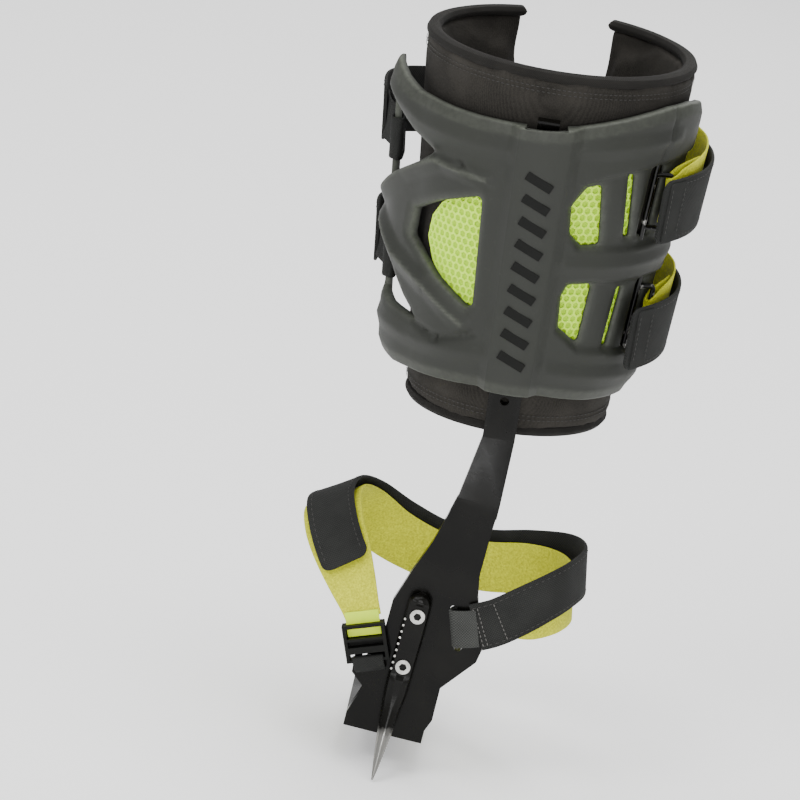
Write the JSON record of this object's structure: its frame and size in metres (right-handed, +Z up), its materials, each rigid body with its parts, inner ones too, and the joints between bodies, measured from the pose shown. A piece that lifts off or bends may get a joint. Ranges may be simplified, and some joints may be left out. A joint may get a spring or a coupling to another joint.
{
  "type": "tree climbing spurs",
  "caption": "Right-leg tree climbing spur: steel shank with tread and bolt-on gaff, height-adjustable padded calf cuff, calf straps and foot straps.",
  "frame": {"origin": "middle of the tread's top face, where the boot's arch rests", "axes": "+Z up along the leg, +X towards the heel, -Y towards the inner side of the leg, where the gaff is"},
  "size_m": [0.1804, 0.1719, 0.4227],
  "materials": {
    "black_steel": "gloss black powder coat, worn bright at edges",
    "gaff_steel": "gloss black, ground bare at the spike",
    "bright_steel": "satin",
    "black_webbing": "woven webbing",
    "lime_fleece": "brushed loop fabric",
    "yellow_webbing": "fluorescent woven webbing",
    "hook_tape": "hook tape",
    "black_plastic": "moulded, ribbed",
    "shell_plastic": "moulded, fine texture",
    "pad_fabric": "knit-faced foam pad",
    "pad_binding": "woven edge binding",
    "lime_mesh": "honeycomb spacer mesh",
    "ring_steel": "black, worn to bare metal at the edges"
  },
  "bodies": {
    "spur_iron": {"shank": "black_steel", "gaff": "gaff_steel", "gaff_screws": "bright_steel", "heel_strap": "black_webbing", "instep_strap": "lime_fleece", "buckle_webbing": "yellow_webbing", "ladder_lock_buckle": "black_plastic", "buckle_anchor_loop": "black_webbing"},
    "cuff": {"calf_shell": "shell_plastic", "calf_pad": "pad_fabric", "pad_top_binding": "pad_binding", "pad_bottom_binding": "pad_binding", "front_mesh": "lime_mesh", "rear_mesh": "lime_mesh", "guide_plate": "bright_steel", "guide_rivets": "bright_steel", "lock_pivot_pin": "bright_steel", "lock_spring": "bright_steel", "upper_ring": "ring_steel", "lower_ring": "ring_steel", "upper_base_strap": "lime_fleece", "lower_base_strap": "lime_fleece", "upper_tail_strap": "black_webbing", "lower_tail_strap": "black_webbing"},
    "height_lock": {"lock_lever": "black_steel", "lock_pin": "bright_steel"},
    "upper_strap_end": {"upper_tab": "black_webbing", "upper_hook_patch": "hook_tape"},
    "lower_strap_end": {"lower_tab": "black_webbing", "lower_hook_patch": "hook_tape"},
    "foot_strap_end": {"instep_tab": "black_webbing", "instep_hook_patch": "hook_tape"}
  },
  "joints": [
    {"name": "cuff_height", "type": "slide", "parent": "spur_iron", "child": "cuff", "axis": [-0.0868, -0.0872, 0.9924], "range_m": [-0.01, 0.05]},
    {"name": "lock_release", "type": "hinge", "parent": "cuff", "child": "height_lock", "pos_m": [0.01785, -0.05032, 0.23062], "axis": [0.9962, 0, 0.0872], "range_deg": [0, 1.75], "stiffness_Nm_per_rad": 6, "springref_deg": -1.15},
    {"name": "upper_tab_peel", "type": "hinge", "parent": "cuff", "child": "upper_strap_end", "pos_m": [0.1012, 0.01976, 0.32816], "axis": [0.0002, -0.0477, 0.9989], "range_deg": [0, 75]},
    {"name": "lower_tab_peel", "type": "hinge", "parent": "cuff", "child": "lower_strap_end", "pos_m": [0.1012, 0.01976, 0.25347], "axis": [0.0003, -0.0687, 0.9976], "range_deg": [0, 75]},
    {"name": "instep_tab_peel", "type": "hinge", "parent": "spur_iron", "child": "foot_strap_end", "pos_m": [-0.05619, -0.02444, 0.10323], "axis": [-0.8528, -0.0339, -0.5212], "range_deg": [0, 70]}
  ]
}
